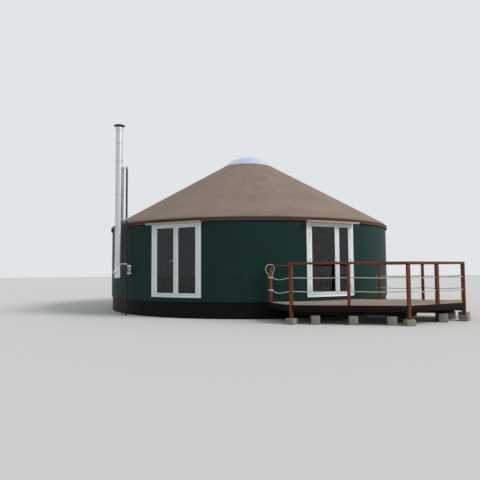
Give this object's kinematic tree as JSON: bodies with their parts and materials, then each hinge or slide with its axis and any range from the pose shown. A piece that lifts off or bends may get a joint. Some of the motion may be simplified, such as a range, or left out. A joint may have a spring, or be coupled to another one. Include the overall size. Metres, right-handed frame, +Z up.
{
  "type": "yurt with timber deck",
  "caption": "Round fabric-covered yurt with a conical roof and crown dome, glazed double doors, a flue on a mast and a raised timber deck with rope rails.",
  "frame": {"origin": "on the ground under the crown: the bottom face of the centre pad", "axes": "+Z up; -Y towards the front, midway between the two doors; +X to the right seen from the front"},
  "size_m": [10.9308, 11.761, 5.8273],
  "materials": {
    "concrete": "cast concrete, weathered",
    "structural_timber": "sawn softwood",
    "floor_boards": "oiled boards",
    "skirt": "black membrane on the platform's edge",
    "wall_fabric": "dark green coated canvas",
    "roof_fabric": "taupe coated canvas",
    "hem_fabric": "dark brown edge band",
    "lattice_ash": "oiled ash laths",
    "dome_acrylic": "pale translucent acrylic",
    "white_frame": "white extruded plastic",
    "door_glass": "clear double glazing",
    "silver_metal": "bright stainless steel",
    "black_metal": "black paint",
    "black_trim": "black trim",
    "canopy_timber": "pale weathered timber",
    "deck_boards": "stained boards, worn pale",
    "deck_fascia": "dark stained planks",
    "stained_timber": "red-brown stain",
    "rope": "laid white rope",
    "handle_metal": "polished"
  },
  "bodies": {
    "yurt": {"base_pads": "concrete", "base_skirt": "skirt", "crown": "structural_timber", "deck_bearers": "deck_fascia", "deck_blocks": "concrete", "deck_boards": "deck_boards", "deck_fascia": "deck_fascia", "deck_handrail": "stained_timber", "deck_joists": "deck_fascia", "deck_posts": "stained_timber", "dome": "dome_acrylic", "dome_rim": "white_frame", "door_canopies": "canopy_timber", "door_frames": "white_frame", "door_strips": "black_trim", "door_studs": "structural_timber", "floor_bearers": "structural_timber", "floor_deck": "floor_boards", "floor_joists": "structural_timber", "flue_clamps": "silver_metal", "flue_cowl": "black_metal", "flue_pipe": "silver_metal", "flue_tee": "silver_metal", "flue_wall_plate": "silver_metal", "mast_poles": "black_metal", "roof_cover_back": "roof_fabric", "roof_cover_front": "roof_fabric", "roof_hem": "hem_fabric", "roof_poles": "structural_timber", "rope_knots": "rope", "rope_lower": "rope", "rope_tail": "rope", "rope_upper": "rope", "wall_cover_front": "wall_fabric", "wall_cover_sides": "wall_fabric", "wall_lattice_back": "lattice_ash", "wall_lattice_front": "lattice_ash", "wall_lattice_left": "lattice_ash", "wall_lattice_right": "lattice_ash", "wall_plate": "structural_timber"},
    "left_door_left_leaf": {"left_door_left_glass": "door_glass", "left_door_left_handle": "handle_metal", "left_door_left_sash": "white_frame"},
    "left_door_right_leaf": {"left_door_right_glass": "door_glass", "left_door_right_sash": "white_frame"},
    "right_door_main_leaf": {"right_door_main_glass": "door_glass", "right_door_main_handle": "handle_metal", "right_door_main_sash": "white_frame"},
    "right_door_side_leaf": {"right_door_side_glass": "door_glass", "right_door_side_sash": "white_frame"}
  },
  "joints": [
    {"name": "left_door_left_hinge", "type": "hinge", "parent": "yurt", "child": "left_door_left_leaf", "pos_m": [-2.86826, -4.02792, 1.62], "axis": [0, 0, -1], "range_deg": [0, 95]},
    {"name": "left_door_right_hinge", "type": "hinge", "parent": "yurt", "child": "left_door_right_leaf", "pos_m": [-1.57273, -4.68802, 1.62], "axis": [0, 0, 1], "range_deg": [0, 95]},
    {"name": "right_door_main_hinge", "type": "hinge", "parent": "yurt", "child": "right_door_main_leaf", "pos_m": [1.57273, -4.68802, 1.62], "axis": [0, 0, -1], "range_deg": [0, 95]},
    {"name": "right_door_side_hinge", "type": "hinge", "parent": "yurt", "child": "right_door_side_leaf", "pos_m": [2.86826, -4.02792, 1.62], "axis": [0, 0, 1], "range_deg": [0, 95]}
  ]
}
